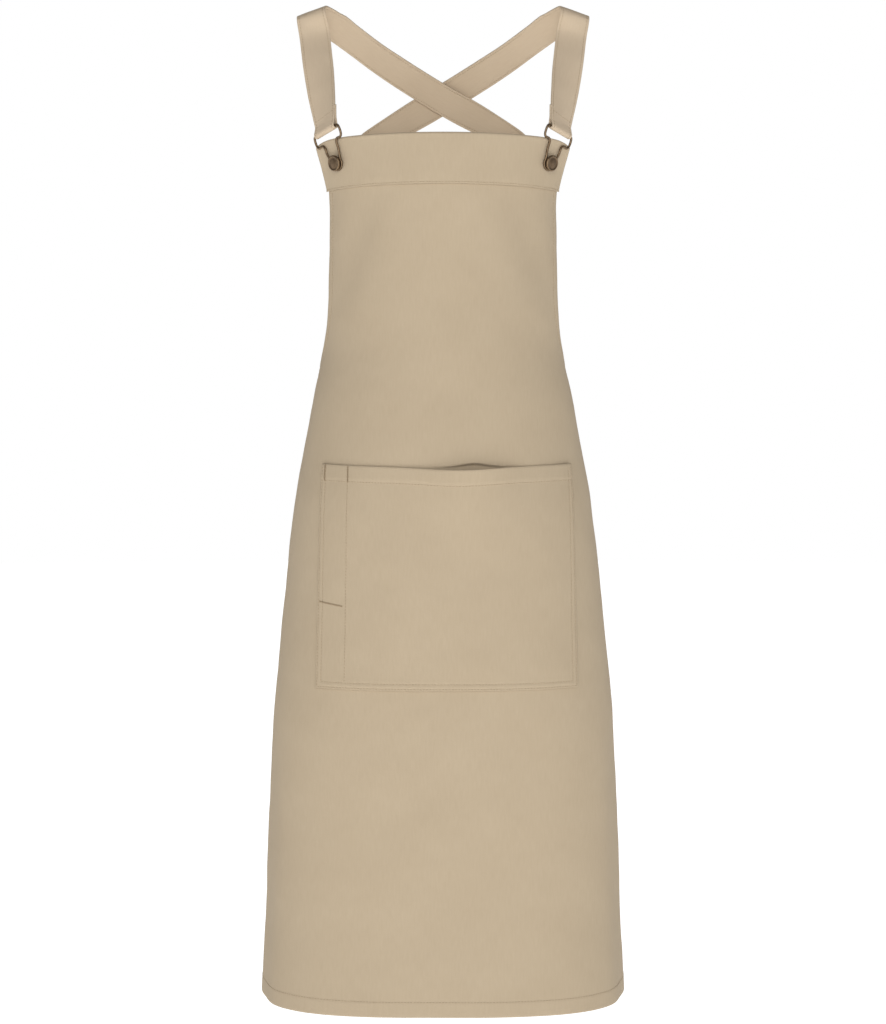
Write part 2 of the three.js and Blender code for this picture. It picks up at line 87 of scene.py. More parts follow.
# down the drop, then shares of the hem's half width and half depth, and the section's exponent
formSections = [
    (0.000, 0.80, 0.75, 0.12, 2.0),
    (0.012, 0.80, 0.75, 0.41, 2.0),
    (0.045, 0.80, 0.75, 0.67, 2.0),
    (0.079, 0.80, 0.75, 0.82, 2.0),
    (0.108, 0.80, 0.75, 0.84, 2.0),
    (0.136, 0.71, 0.75, 0.745, 2.0),
    (0.188, 0.645, 0.75, 0.69, 2.0),
    (0.245, 0.645, 0.75, 0.67, 2.0),
    (0.295, 0.655, 0.76, 0.68, 2.0),
    (0.345, 0.655, 0.79, 0.72, 2.0),
    (0.397, 0.71, 0.82, 0.78, 2.1),
    (0.450, 0.76, 0.86, 0.86, 2.1),
    (0.500, 0.81, 0.89, 0.90, 2.2),
    (0.602, 0.87, 0.93, 0.95, 2.3),
    (0.705, 0.925, 0.955, 0.97, 2.5),
    (0.809, 0.957, 0.97, 0.98, 2.6),
    (0.913, 0.975, 0.985, 0.99, 2.7),
    (1.000, 1.00, 1.00, 1.00, 3.0),
]

# soft folds: aside and down at the top and the end, half width and depth, as shares of the bib
softFolds = [
    (0.50, 0.05, 0.88, 0.21, 0.16, 0.018),
    (-0.50, 0.05, -0.88, 0.21, 0.16, 0.018),
    (1.46, 0.66, 1.53, 1.02, 0.17, 0.022),
    (-1.46, 0.66, -1.53, 1.02, 0.17, 0.022),
]


def between(rows, at, column):
    last = len(rows) - 1
    at = min(max(at, rows[0][0]), rows[last][0])
    i = 0
    while i < last - 1 and rows[i + 1][0] < at:
        i += 1

    def slope(j):
        before, after = rows[max(j - 1, 0)], rows[min(j + 1, last)]
        return (after[column] - before[column]) / (after[0] - before[0])

    low, high = rows[i], rows[i + 1]
    span = high[0] - low[0]
    t = (at - low[0]) / span
    rise = high[column] - low[column]
    bend = t * (1 - t) * (slope(i) * span * (1 - t) - slope(i + 1) * span * t - rise * (1 - 2 * t))
    return low[column] + rise * t + bend


def sectionAt(z):
    down = z / hemZ
    return (
        form["hemHalfWidth"] * between(formSections, down, 1),
        form["hemHalfDepth"] * between(formSections, down, 2),
        form["hemHalfDepth"] * between(formSections, down, 3),
        between(formSections, down, 4),
    )


def sectionPoint(section, angle):
    wide, front, back, square = section
    deep = front if math.cos(angle) > 0 else back
    across = abs(math.sin(angle) / wide) ** square
    along = abs(math.cos(angle) / deep) ** square
    radius = (across + along) ** (-1 / square)
    return Vector((radius * math.sin(angle), -radius * math.cos(angle)))


walkSteps = 180
walks = {}


def walkOf(z):
    key = round(z, 3)
    if key not in walks:
        section = sectionAt(z)
        points = [sectionPoint(section, math.pi * i / walkSteps) for i in range(walkSteps + 1)]
        walked = [0]
        for before, after in zip(points, points[1:]):
            walked.append(walked[-1] + (after - before).length)
        walks[key] = (points, walked)
    return walks[key]


def foldDepth(aside, z):
    down = (bibTop - z) / form["length"]
    sunk = 0
    for asideTop, top, asideEnd, end, reach, depth in softFolds:
        t = (down - top) / (end - top)
        if 0 < t < 1:
            middle = (asideTop + (asideEnd - asideTop) * t) * form["bibHalfFlat"]
            off = (aside - middle) / (reach * form["bibHalfFlat"])
            along = min(1, 4 * t * (1 - t) + (t * t if end > 1 else 0))
            sunk += depth * form["bibHalfFlat"] * along * math.exp(-off * off)
    return sunk


bandSizes = {
    "height": 50,
    "halfFlat": 142,
    "cornerDrop": 9,
    "seamDrop": 3,
    "cornerFlare": 7,
    "flarePower": 6,
    "curveShare": 0.35,
    "cornerPower": 12,
}


def cornerFlare(aside, z):
    up = max(0, 1 + (z - bibTop) / bandSizes["height"])
    outward = min(1, abs(aside) / bandSizes["halfFlat"]) ** bandSizes["flarePower"]
    return bandSizes["cornerFlare"] * up * outward


# a place on the cloth and the level direction out of it; out is the distance off its outer face
def onForm(aside, z, out=0):
    points, walked = walkOf(z)
    side = -1 if aside < 0 else 1
    wanted = min(abs(aside), walked[walkSteps])
    i = max(1, bisect_left(walked, wanted))
    t = (wanted - walked[i - 1]) / (walked[i] - walked[i - 1])
    here = points[i - 1].lerp(points[i], t)
    run = (points[min(i + 1, walkSteps)] - points[max(i - 2, 0)]).normalized()
    normal = Vector((side * run.y, -run.x, 0)).normalized()
    shift = out + cornerFlare(aside, z) - foldDepth(aside, z)
    return Vector((side * here.x, here.y, z)) + normal * shift, normal


armholeStart = bibTop - form["armholeTop"]
armholePower = 2 / form["armholeFullness"]
armholeTurn = form["armholeTurn"] * degree
armholeReach = (form["cornerHalfFlat"] - form["bibHalfFlat"]) / (1 - math.cos(armholeTurn) ** armholePower)
cornerZ = armholeStart - form["armholeDrop"] * math.sin(armholeTurn) ** armholePower


def halfFlat(z):
    if z >= armholeStart:
        return form["bibHalfFlat"]
    if z <= cornerZ:
        share = (cornerZ - z) / (cornerZ - hemZ)
        return form["cornerHalfFlat"] + (form["hemHalfFlat"] - form["cornerHalfFlat"]) * share
    downward = (armholeStart - z) / form["armholeDrop"]
    sine = downward ** (1 / armholePower)
    return form["bibHalfFlat"] + armholeReach * (1 - math.sqrt(1 - sine * sine) ** armholePower)


# Materials


def toLinear(hexColour):
    channels = [int(hexColour[i:i + 2], 16) / 255 for i in (1, 3, 5)]
    return [c / 12.92 if c <= 0.04045 else ((c + 0.055) / 1.055) ** 2.4 for c in channels] + [1]


def addNode(tree, kind, settings=None, links=None):
    node = tree.nodes.new(kind)
    for key, value in (settings or {}).items():
        if isinstance(key, int) or key in node.inputs:
            node.inputs[key].default_value = value
        else:
            setattr(node, key, value)
    for key, source in (links or {}).items():
        tree.links.new(source, node.inputs[key])
    return node


def newMaterial(name):
    material = bpy.data.materials.new(name)
    material.use_nodes = True
    return material, material.node_tree, material.node_tree.nodes["Principled BSDF"]


def setInputs(shader, values):
    for key, value in values.items():
        shader.inputs[key].default_value = value


# woven cotton: a matt cloth of one colour, with a fine diagonal rib, slubs and a little fading
def cottonTwill(name, sizes):
    material, tree, shader = newMaterial(name)
    uv = addNode(tree, "ShaderNodeUVMap", {"uv_map": "clothMetres"})
    flat = uv.outputs["UV"]
    # the rib is 0.6 mm in the real cloth and drawn at 1.3 mm so that it shows
    turned = addNode(tree, "ShaderNodeMapping", {"Rotation": (0, 0, sizes["ribAngle"] * degree)},
                     {"Vector": flat})
    rib = addNode(tree, "ShaderNodeTexWave", {
        "wave_type": "BANDS", "bands_direction": "X", "Scale": 0.314 / (sizes["ribPitch"] * mm),
        "Distortion": 1.2, "Detail": 1, "Detail Scale": 2.0,
    }, {"Vector": turned.outputs["Vector"]})
    stretched = addNode(tree, "ShaderNodeMapping", {"Scale": (1, 0.12, 1)}, {"Vector": flat})
    slub = addNode(tree, "ShaderNodeTexNoise", {"Scale": 1 / (sizes["slubWidth"] * mm), "Detail": 3},
                   {"Vector": stretched.outputs["Vector"]})
    fading = addNode(tree, "ShaderNodeTexNoise", {"Scale": 1 / (sizes["fadingSize"] * mm), "Detail": 4},
                     {"Vector": flat})
    shade = addNode(tree, "ShaderNodeMix", {
        "data_type": "RGBA", 6: toLinear(sizes["deep"]), 7: toLinear(sizes["light"]),
    }, {0: slub.outputs["Fac"]})
    worn = addNode(tree, "ShaderNodeMix", {
        "data_type": "RGBA", "blend_type": "SOFT_LIGHT", 0: sizes["fading"],
    }, {6: shade.outputs[2], 7: fading.outputs["Fac"]})
    tree.links.new(worn.outputs[2], shader.inputs["Base Color"])
    height = addNode(tree, "ShaderNodeMath", {"operation": "ADD"},
                     {0: rib.outputs["Fac"], 1: slub.outputs["Fac"]})
    bump = addNode(tree, "ShaderNodeBump", {"Strength": sizes["bump"], "Distance": 0.15 * mm},
                   {"Height": height.outputs[0]})
    tree.links.new(bump.outputs["Normal"], shader.inputs["Normal"])
    setInputs(shader, {
        "Roughness": 0.92, "Specular IOR Level": 0.25, "Sheen Weight": sizes["sheen"], "Sheen Roughness": 0.6,
    })
    return material


# spun polyester thread, a shade deeper than the cloth, with a soft gloss
def sewingThread(name, colour):
    material, tree, shader = newMaterial(name)
    place = addNode(tree, "ShaderNodeTexCoord")
    twist = addNode(tree, "ShaderNodeTexNoise", {"Scale": 900, "Detail": 2},
                    {"Vector": place.outputs["Object"]})
    lighter = [c * 1.12 for c in toLinear(colour)[:3]] + [1]
    tint = addNode(tree, "ShaderNodeMix", {"data_type": "RGBA", 6: toLinear(colour), 7: lighter},
                   {0: twist.outputs["Fac"]})
    tree.links.new(tint.outputs[2], shader.inputs["Base Color"])
    setInputs(shader, {"Roughness": 0.7, "Specular IOR Level": 0.3})
    return material


# aged brass: brown with a worn, brighter cast where hands and cloth rub it
def agedBrass(name, sizes):
    material, tree, shader = newMaterial(name)
    place = addNode(tree, "ShaderNodeTexCoord")
    patina = addNode(tree, "ShaderNodeTexNoise", {"Scale": 1 / (sizes["patinaSize"] * mm), "Detail": 6},
                     {"Vector": place.outputs["Object"]})
    pits = addNode(tree, "ShaderNodeTexNoise", {"Scale": 1 / (0.5 * mm), "Detail": 3},
                   {"Vector": place.outputs["Object"]})
    geometry = addNode(tree, "ShaderNodeNewGeometry")
    rubbed = addNode(tree, "ShaderNodeMapRange", {"From Min": 0.5, "From Max": 0.62},
                     {"Value": geometry.outputs["Pointiness"]})
    spread = addNode(tree, "ShaderNodeMath", {"operation": "MULTIPLY_ADD", 1: 0.5},
                     {0: rubbed.outputs[0], 2: patina.outputs["Fac"]})
    tint = addNode(tree, "ShaderNodeMix", {
        "data_type": "RGBA", 6: toLinear(sizes["deep"]), 7: toLinear(sizes["worn"]),
    }, {0: spread.outputs[0]})
    tree.links.new(tint.outputs[2], shader.inputs["Base Color"])
    rough = addNode(tree, "ShaderNodeMapRange", {
        "To Min": sizes["rough"] - 0.08, "To Max": sizes["rough"] + 0.12,
    }, {"Value": patina.outputs["Fac"]})
    tree.links.new(rough.outputs[0], shader.inputs["Roughness"])
    bump = addNode(tree, "ShaderNodeBump", {"Strength": 0.25, "Distance": 0.05 * mm},
                   {"Height": pits.outputs["Fac"]})
    tree.links.new(bump.outputs["Normal"], shader.inputs["Normal"])
    shader.inputs["Metallic"].default_value = 1
    return material


bodyTwill = cottonTwill("cotton twill", {
    "deep": "#b09f86", "light": "#b8a78e", "ribAngle": 58, "ribPitch": 1.3, "slubWidth": 1.6,
    "fadingSize": 55, "fading": 0.08, "bump": 0.22, "sheen": 0.03,
})
strapTwill = cottonTwill("doubled strap twill", {
    "deep": "#bfac94", "light": "#c7b59c", "ribAngle": 90, "ribPitch": 1.2, "slubWidth": 1.4,
    "fadingSize": 40, "fading": 0.08, "bump": 0.3, "sheen": 0.03,
})
seamThread = sewingThread("polyester thread", "#a5937a")
# the bar tack thread is deeper than the seam thread as painted shade: its colour paints the shade that falls
# among the dense tack stitches
paintedShadeTackThread = sewingThread("bar tack thread with painted shade", "#8d7a60")
buckleBrass = agedBrass("aged brass", {"deep": "#41332a", "worn": "#8a755c", "patinaSize": 4, "rough": 0.38})
print("materials ready")

# Making pieces


def newPiece(name, mesh, material):
    piece = bpy.data.objects.new(name, mesh)
    scene.collection.objects.link(piece)
    mesh.materials.clear()
    mesh.materials.append(material)
    mesh.shade_smooth()
    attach(piece, "root")
    return piece


def meshOf(bm, name):
    mesh = bpy.data.meshes.new(name)
    bm.to_mesh(mesh)
    bm.free()
    return mesh


# a grid bent into place: place gives a point and the flat place in millimetres for a column and a row
def clothSheet(name, columns, rows, place, thickness, material):
    bm = bmesh.new()
    cloth = bm.loops.layers.uv.new("clothMetres")
    bmesh.ops.create_grid(bm, x_segments=len(columns) - 1, y_segments=len(rows) - 1, size=1)
    bm.verts.index_update()
    flats = []
    for v in bm.verts:
        row, column = divmod(v.index, len(columns))
        point, flat = place(columns[column], rows[row])
        v.co = point * mm
        flats.append((flat[0] * mm, flat[1] * mm))
    for face in bm.faces:
        for loop in face.loops:
            loop[cloth].uv = flats[loop.vert.index]
    piece = newPiece(name, meshOf(bm, name), material)
    wall = piece.modifiers.new("cloth thickness", "SOLIDIFY")
    wall.thickness = thickness * mm
    wall.offset = -1
    return piece


def smoothStep(low, high, value):
    t = min(1, max(0, (value - low) / (high - low)))
    return t * t * (3 - 2 * t)


# a turned and stitched edge: proud up to the seam, sunk along it; inset is the distance from the edge
def turnedEdge(inset, seam, proud=0.3, dent=0.28, width=1.0):
    raised = proud * (1 - smoothStep(seam, seam + 1.6, inset)) * smoothStep(-0.5, 2.0, inset)
    return raised - dent * math.exp(-((inset - seam) / width) ** 2)


def crumple(aside, z, size, depth):
    return depth * noise.noise(Vector((aside / size, z / size, size * 0.37)))


# positions from low to high, close together round each seam and further apart elsewhere
def spreadPlaces(low, high, step, seams, fine=0.7, reach=2.8):
    places = [low]
    while places[-1] < high - 1e-6:
        near = min((abs(places[-1] - s) for s in seams), default=1e9)
        stride = fine if near < reach else min(step, max(fine, near - reach + fine))
        places.append(min(high, places[-1] + stride))
    if places[-1] - places[-2] < fine / 3:
        places.pop(-2)
    return places


# columns of a sheet as (side, distance in from its edge), and between them as (share, None)
def edgeColumns(insets, middles):
    columns = [(-1, i) for i in insets]
    columns += [(2 * i / middles - 1, None) for i in range(middles + 1)]
    return columns + [(1, i) for i in reversed(insets)]


stitchSizes = {"pitch": 3.1, "length": 2.5, "width": 0.55, "proud": 0.32}


# a row of stitches along points that each come with the direction out of the cloth
def stitchRow(target, route, sizes=stitchSizes):
    bm = bmesh.new()
    walked = [0]
    for (a, _), (b, _) in zip(route, route[1:]):
        walked.append(walked[-1] + (b - a).length)
    count = max(1, int(walked[-1] / sizes["pitch"]))
    for k in range(count):
        at = (k + 0.5) * walked[-1] / count
        i = min(len(route) - 1, max(1, bisect_left(walked, at)))
        t = (at - walked[i - 1]) / max(1e-9, walked[i] - walked[i - 1])
        (a, outA), (b, outB) = route[i - 1], route[i]
        along = (b - a).normalized()
        out = outA.lerp(outB, t)
        out = (out - along * out.dot(along)).normalized()
        across = out.cross(along)
        turn = Matrix((along, across, out)).transposed().to_4x4()
        size = Matrix.Diagonal((sizes["length"] / 2, sizes["width"] / 2, sizes["proud"], 1))
        centre = a.lerp(b, t)
        place = Matrix.Scale(mm, 4) @ Matrix.Translation(centre) @ turn @ size
        bmesh.ops.create_uvsphere(bm, u_segments=6, v_segments=4, radius=1, matrix=place)
    spare = meshOf(bm, "spare")
    target.from_mesh(spare)
    bpy.data.meshes.remove(spare)


def threadPiece(name, rows, material, sizes=stitchSizes):
    bm = bmesh.new()
    for route in rows:
        stitchRow(bm, route, sizes)
    return newPiece(name, meshOf(bm, name), material)


# Bib and skirt

panelSizes = {
    "sideHem": 8.5,
    "bottomHem": 15,
    "step": 4.6,
    "mouthHollow": 5.2,
    "mouthRise": 3.4,
    "mouthRisePower": 3.2,
    "edgeInsets": (0, 0.8, 2, 4, 6, 7.3, 8, 8.6, 9.3, 10.3, 11.5),
    "edgeReach": 13,
    "crumples": ((70, 1.1), (24, 0.35), (9, 0.10)),
}
pocketSizes = {
    "width": 274,
    "footWidth": 269,
    "height": 218,
    "belowBib": 326,
    "shift": 6,
    "footShift": 4.6,
    "topSag": 2,
    "dip": 2.6,
    "dipAside": 14,
    "dipHalfWidth": 52,
    "gapeAside": 31,
    "gapeHalfWidth": 42,
    "gapeStandOff": 9,
    "gapeFade": 120,
    "gapePower": 1.6,
    "topHem": 16,
    "edgeSeams": (1.6, 6.4),
    "step": 3.6,
    "edgeInsets": (0, 0.7, 1.2, 1.7, 2.3, 3.2, 4.6, 5.5, 6.2, 6.9, 7.8, 9, 10.5),
    "edgeReach": 12,
}
pocketTop = bibTop - pocketSizes["belowBib"]


def gapeAt(aside, fromTop):
    off = (aside - pocketSizes["gapeAside"]) / pocketSizes["gapeHalfWidth"]
    downward = max(0, 1 - fromTop / pocketSizes["gapeFade"]) ** 2
    return math.exp(-off * off * pocketSizes["gapePower"]) * downward


def clothCrumple(aside, z):
    return sum(crumple(aside, z, size, depth) for size, depth in panelSizes["crumples"])


def panelRelief(aside, z):
    inset = halfFlat(z) - abs(aside)
    above = z - hemZ
    sides = turnedEdge(inset, panelSizes["sideHem"]) if z < bibTop - bandSizes["height"] else 0
    foot = turnedEdge(above, panelSizes["bottomHem"])
    below = pocketTop - z
    gape = gapeAt(aside, 0)
    lip = below + panelSizes["mouthRise"] * gape ** panelSizes["mouthRisePower"]
    hollow = panelSizes["mouthHollow"] * gape ** 1.5 * smoothStep(-0.8, 1.8, lip) * smoothStep(60, 8, below)
    bandFoot = bibTop - bandSizes["height"]
    uncovered = smoothStep(bandFoot + 4, bandFoot - 14, z)
    height = pocketSizes["height"]
    underPocket = smoothStep(-6, 6, below) * smoothStep(height + 6, height - 6, below)
    underPocket *= smoothStep(145, 130, abs(aside))
    return sides + foot - hollow + clothCrumple(aside, z) * uncovered * (1 - 0.85 * underPocket)


def panelPlace(column, z):
    share, inset = column
    half = halfFlat(z)
    aside = share * (half - (panelSizes["edgeReach"] if inset is None else inset))
    point, _ = onForm(aside, z, panelRelief(aside, z))
    return point, (aside, z)


def makePanel(sizes):
    middles = round(2 * (form["hemHalfFlat"] - sizes["edgeReach"]) / sizes["step"])
    columns = edgeColumns(sizes["edgeInsets"], middles)
    top = bibTop - bandSizes["cornerDrop"] - form["cloth"] - 2 * form["pieceGap"]
    seams = [hemZ + sizes["bottomHem"], hemZ, pocketTop, pocketTop + sizes["mouthRise"]]
    rows = spreadPlaces(hemZ, top, sizes["step"], seams)
    return clothSheet("apron_cloth", columns, rows, panelPlace, form["cloth"], bodyTwill)


apronCloth = makePanel(panelSizes)
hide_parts("apron_panel")


def panelSeam(places, lift=0.1):
    route = []
    for aside, z in places:
        point, normal = onForm(aside, z, panelRelief(aside, z) + lift)
        route.append((point, normal))
    return route


def panelSeams(sizes):
    hem = [(-form["hemHalfFlat"] + 2 + i * 4, hemZ + sizes["bottomHem"]) for i in range(150)]
    rows = [panelSeam(hem)]
    top = bibTop - bandSizes["height"] - 4
    for side in (-1, 1):
        edge = [top + (hemZ + 4 - top) * i / 210 for i in range(211)]
        rows.append(panelSeam([(side * (halfFlat(z) - sizes["sideHem"]), z) for z in edge]))
    return rows


apronThread = threadPiece("apron_thread", panelSeams(panelSizes), seamThread)
print("bib and skirt ready")

# Band on the bib


def bandEdges(aside):
    share = abs(aside) / bandSizes["halfFlat"]
    bow = bandSizes["curveShare"]
    curve = bow * share ** 2 + (1 - bow) * share ** bandSizes["cornerPower"]
    foot = bibTop - bandSizes["height"] - bandSizes["seamDrop"] * share ** 2
    return bibTop - bandSizes["cornerDrop"] * curve, foot


bandOut = form["layerGap"] + form["cloth"]
bandMiddle = -form["cloth"] / 2
bandOuter = bandOut - bandMiddle
bandDetail = {"footSeam": 1.8, "endSeam": 3, "foldSteps": 12}


def bandRelief(aside, up):
    fromFoot = up * bandSizes["height"]
    relief = turnedEdge(fromFoot, bandDetail["footSeam"], 0.2, 0.35, 0.8)
    relief += turnedEdge(bandSizes["halfFlat"] - abs(aside), bandDetail["endSeam"], 0.1, 0.3)
    return relief + crumple(aside, fromFoot + 300, 26, 0.3) + crumple(aside, fromFoot, 60, 0.4)


def bandPlace(aside, row):
    up, rise, out = row
    top, foot = bandEdges(aside)
    z = foot + (top - bandOuter - foot) * up + (rise if up == 1 else 0)
    front = out > bandMiddle and up < 1
    point, _ = onForm(aside, z, out + (bandRelief(aside, up) if front else 0))
    flatUp = z if out >= bandMiddle else 2 * (top + 4) - z
    return point, (aside, flatUp)


def makeBand():
    places = spreadPlaces(0, bandSizes["height"], 2.6, [bandDetail["footSeam"]], 0.6, 2)
    ups = [p / bandSizes["height"] for p in places]
    rows = [(up, 0, bandMiddle + bandOuter) for up in ups[:-1]]
    for i in range(bandDetail["foldSteps"] + 1):
        angle = math.pi * i / bandDetail["foldSteps"]
        rows.append((1, bandOuter * math.sin(angle), bandMiddle + bandOuter * math.cos(angle)))
    rows += [(up, 0, bandMiddle - bandOuter) for up in reversed(ups[:-1])]
    half, seam = bandSizes["halfFlat"], bandSizes["halfFlat"] - bandDetail["endSeam"]
    columns = spreadPlaces(-half, half, 3, [-seam, seam])
    return clothSheet("band_cloth", columns, rows, bandPlace, form["cloth"], bodyTwill)


bandCloth = makeBand()
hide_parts("bib_band")


def bandSeam(fromFoot, points=96):
    route = []
    end = bandSizes["halfFlat"] - 1.5
    for i in range(points):
        aside = -end + 2 * end * i / (points - 1)
        top, foot = bandEdges(aside)
        up = fromFoot / bandSizes["height"]
        z = foot + (top - bandOuter - foot) * up
        point, normal = onForm(aside, z, bandOut + bandRelief(aside, up) + 0.1)
        route.append((point, normal))
    return route


bandThread = threadPiece("band_thread", [bandSeam(bandDetail["footSeam"])], seamThread)
print("band ready")

# Pocket


def pocketWidthAt(down):
    return pocketSizes["width"] + (pocketSizes["footWidth"] - pocketSizes["width"]) * down


def pocketRelief(inset, fromTop, aside):
    edge = min(inset, pocketSizes["height"] - fromTop)
    relief = 0
    for seam in pocketSizes["edgeSeams"]:
        relief -= 0.4 * math.exp(-((edge - seam) / 0.9) ** 2)
    relief += turnedEdge(fromTop, pocketSizes["topHem"], 0.5, 0.45)
    relief += 0.3 * (1 - smoothStep(7, 9, edge)) * smoothStep(-0.5, 1.5, edge)
    quiet = smoothStep(4, 22, edge)
    return relief + quiet * (crumple(aside, fromTop, 55, 1.3) + crumple(aside, fromTop + 90, 20, 0.4))


def pocketPlace(column, fromTop):
    side, inset = column
    down = fromTop / pocketSizes["height"]
    half = pocketWidthAt(down) / 2
    aside = side * (half - (pocketSizes["edgeReach"] if inset is None else inset))
    fromEdge = half - abs(aside)
    aside += pocketSizes["shift"] + (pocketSizes["footShift"] - pocketSizes["shift"]) * down
    share = (aside - pocketSizes["shift"]) / half
    off = (aside - pocketSizes["dipAside"]) / pocketSizes["dipHalfWidth"]
    dip = pocketSizes["dip"] * math.exp(-off * off * pocketSizes["gapePower"])
    top = pocketTop + pocketSizes["topSag"] * share ** 2 - dip
    z = top + (pocketTop - pocketSizes["height"] - top) * down
    standOff = pocketSizes["gapeStandOff"] * gapeAt(aside, fromTop)
    point, _ = onForm(aside, z, bandOut + standOff + pocketRelief(fromEdge, fromTop, aside))
    return point, (aside, z)


def makePocket(sizes):
    middles = round((sizes["width"] - 2 * sizes["edgeReach"]) / sizes["step"])
    columns = edgeColumns(sizes["edgeInsets"], middles)
    seams = [0, sizes["topHem"], *(sizes["height"] - seam for seam in sizes["edgeSeams"])]
    rows = list(reversed(spreadPlaces(0, sizes["height"], sizes["step"], seams, 0.7, 2)))
    return clothSheet("pocket_cloth", columns, rows, pocketPlace, form["cloth"], bodyTwill)


pocketCloth = makePocket(pocketSizes)
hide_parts("pocket")

penSlot = {
    "aside": 34.5,
    "footAside": 32,
    "shelfDown": 134,
    "shelfLength": 27,
    "shelfDrop": 3.4,
    "shelfStitches": 30,
    "tackInset": 5.5,
    "tackWidth": 1.7,
    "tackLength": 15.2,
    "tackStitches": 24,
}


# stitches on the pocket: a way down it given as (distance from its left edge, distance from its top)
def pocketSeam(places):
    route = []
    for fromLeft, fromTop in places:
        down = fromTop / pocketSizes["height"]
        half = pocketWidthAt(down) / 2
        inset = min(fromLeft, 2 * half - fromLeft)
        share = (fromLeft - half) / (half - inset)
        column = (math.copysign(1, share), inset)
        point, _ = pocketPlace(column, fromTop)
        aside = share * (half - inset)
        route.append((point, onForm(aside, point.z)[1]))
    return [(point + out * 0.1, out) for point, out in route]


def pocketSeams(sizes):
    width, foot, height = sizes["width"], sizes["footWidth"], sizes["height"]
    rows = [pocketSeam([(1 + (width - 2) * i / 90, sizes["topHem"]) for i in range(91)])]
    for seam in sizes["edgeSeams"]:
        depth = height - seam
        rows.append(pocketSeam([(seam, depth * i / 70) for i in range(71)]))
        right = [(pocketWidthAt(i / 70 * depth / height) - seam, depth * i / 70) for i in range(71)]
        rows.append(pocketSeam(right))
        rows.append(pocketSeam([(seam + (foot - 2 * seam) * i / 90, depth) for i in range(91)]))
    lean = penSlot["footAside"] - penSlot["aside"]
    rows.append(pocketSeam([(penSlot["aside"] + lean * i / 70, (height - 7) * i / 70) for i in range(71)]))
    length, down, drop = (penSlot[key] for key in ("shelfLength", "shelfDown", "shelfDrop"))
    rows.append(pocketSeam([(2 + length * i / 10, down + drop * i / 10) for i in range(11)]))
    return rows


pocketThread = threadPiece("pocket_thread", pocketSeams(pocketSizes), seamThread)


def tackRows(sizes):
    rows = []
    half = sizes["tackWidth"] / 2
    for fromLeft in (sizes["tackInset"], sizes["aside"]):
        for i in range(sizes["tackStitches"]):
            down = 0.8 + sizes["tackLength"] * i / (sizes["tackStitches"] - 1)
            rows.append(pocketSeam([(fromLeft - half, down), (fromLeft + half, down + 0.3)]))
    for i in range(sizes["shelfStitches"]):
        share = i / (sizes["shelfStitches"] - 1)
        fromLeft = 3 + (sizes["shelfLength"] - 1) * share
        down = sizes["shelfDown"] + sizes["shelfDrop"] * share
        rows.append(pocketSeam([(fromLeft, down - 0.7), (fromLeft + 0.25, down + 0.7)]))
    return rows


pocketTacks = threadPiece("pocket_tacks", tackRows(penSlot), paintedShadeTackThread,
                          {"pitch": 9, "length": 2.2, "width": 0.5, "proud": 0.35})
print("pocket ready")

# Straps and buckles

strapSizes = {
    "width": 31,
    "thickness": 1.6,
    "foldBack": 14,
    "sewnLength": 30,
    "endInset": 3,
    "shoulderAside": 133,
    "shoulderBack": 8,
    "shoulderSlope": 20,
    "shoulderRadius": 16,
    "shoulderInward": 3,
    "crossingGap": 2,
    "crossingFade": 50,
    "edgeSeam": 2.6,
    "loopSeam": 45.5,
}
buckleSizes = {
    "wireRadius": 1.2,
    "height": 33.5,
    "roll": 7,
    "aside": 19.5,
    "buttonAside": 113,
    "buttonBelowBib": 26,
    "neckRadius": 5.4,
    "neckLength": 4.2,
    "headRadius": 8,
    "headThickness": 2.6,
    "postRadius": 1.6,
    "tackRadius": 5,
    "tackThickness": 1,
}
wireOut = bandOut + buckleSizes["wireRadius"] + 3 * form["pieceGap"]
loopRadius = buckleSizes["neckRadius"] + buckleSizes["wireRadius"] + 2 * form["pieceGap"]

# the front stretch: share of the way from the bar to the shoulder, and the way that the face looks
strapFront = [(0.30, 0.45, 0.85, 0.25), (0.55, 0.18, 0.93, 0.30), (0.80, 0.12, 0.88, 0.45)]
strapShoulder = [(-50, 0), (-15, 0), (25, 1)]
strapSewnPlaces = [-1.27, -0.4, 0.5, 1]
strapBack = [
    (-74, 0.012, 0), (-36.6, 0.047, 1), (0, 0.0812, 1), (31, 0.116, 1),
    (49, 0.145, 1), (59, 0.178, 1), (63, 0.226, 1), (66, 0.290, 1),
]


# a smooth way through points, t from 0 to 1 over all of them
def smoothWay(points, t, closed=False):
    count = len(points)
    place = (count - (0 if closed else 1)) * t
    i = int(place)
    weight = place - i
    if not closed and i >= count - 1:
        i, weight = count - 2, 1
    p0 = points[(i - 1) % count] if closed or i > 0 else points[0] * 2 - points[1]
    p1, p2 = points[i % count], points[(i + 1) % count]
    p3 = points[(i + 2) % count] if closed or i + 2 < count else points[-1] * 2 - points[-2]
    dt1 = max((p1 - p2).length ** 0.5, 1e-4)
    dt0 = (p0 - p1).length ** 0.5 or dt1
    dt2 = (p2 - p3).length ** 0.5 or dt1
    t1 = ((p1 - p0) / dt0 - (p2 - p0) / (dt0 + dt1) + (p2 - p1) / dt1) * dt1
    t2 = ((p2 - p1) / dt1 - (p3 - p1) / (dt1 + dt2) + (p3 - p2) / dt2) * dt1
    w = weight
    return p1 + t1 * w + (p2 * 3 - p1 * 3 - t1 * 2 - t2) * w ** 2 + (p1 * 2 - p2 * 2 + t1 + t2) * w ** 3


def onto(direction, normal):
    return direction - normal * direction.dot(normal)


probeStep = 2


def trueNormal(aside, z):
    run = onForm(aside + probeStep, z)[0] - onForm(aside - probeStep, z)[0]
    rise = onForm(aside, z + probeStep)[0] - onForm(aside, z - probeStep)[0]
    return run.cross(rise).normalized()


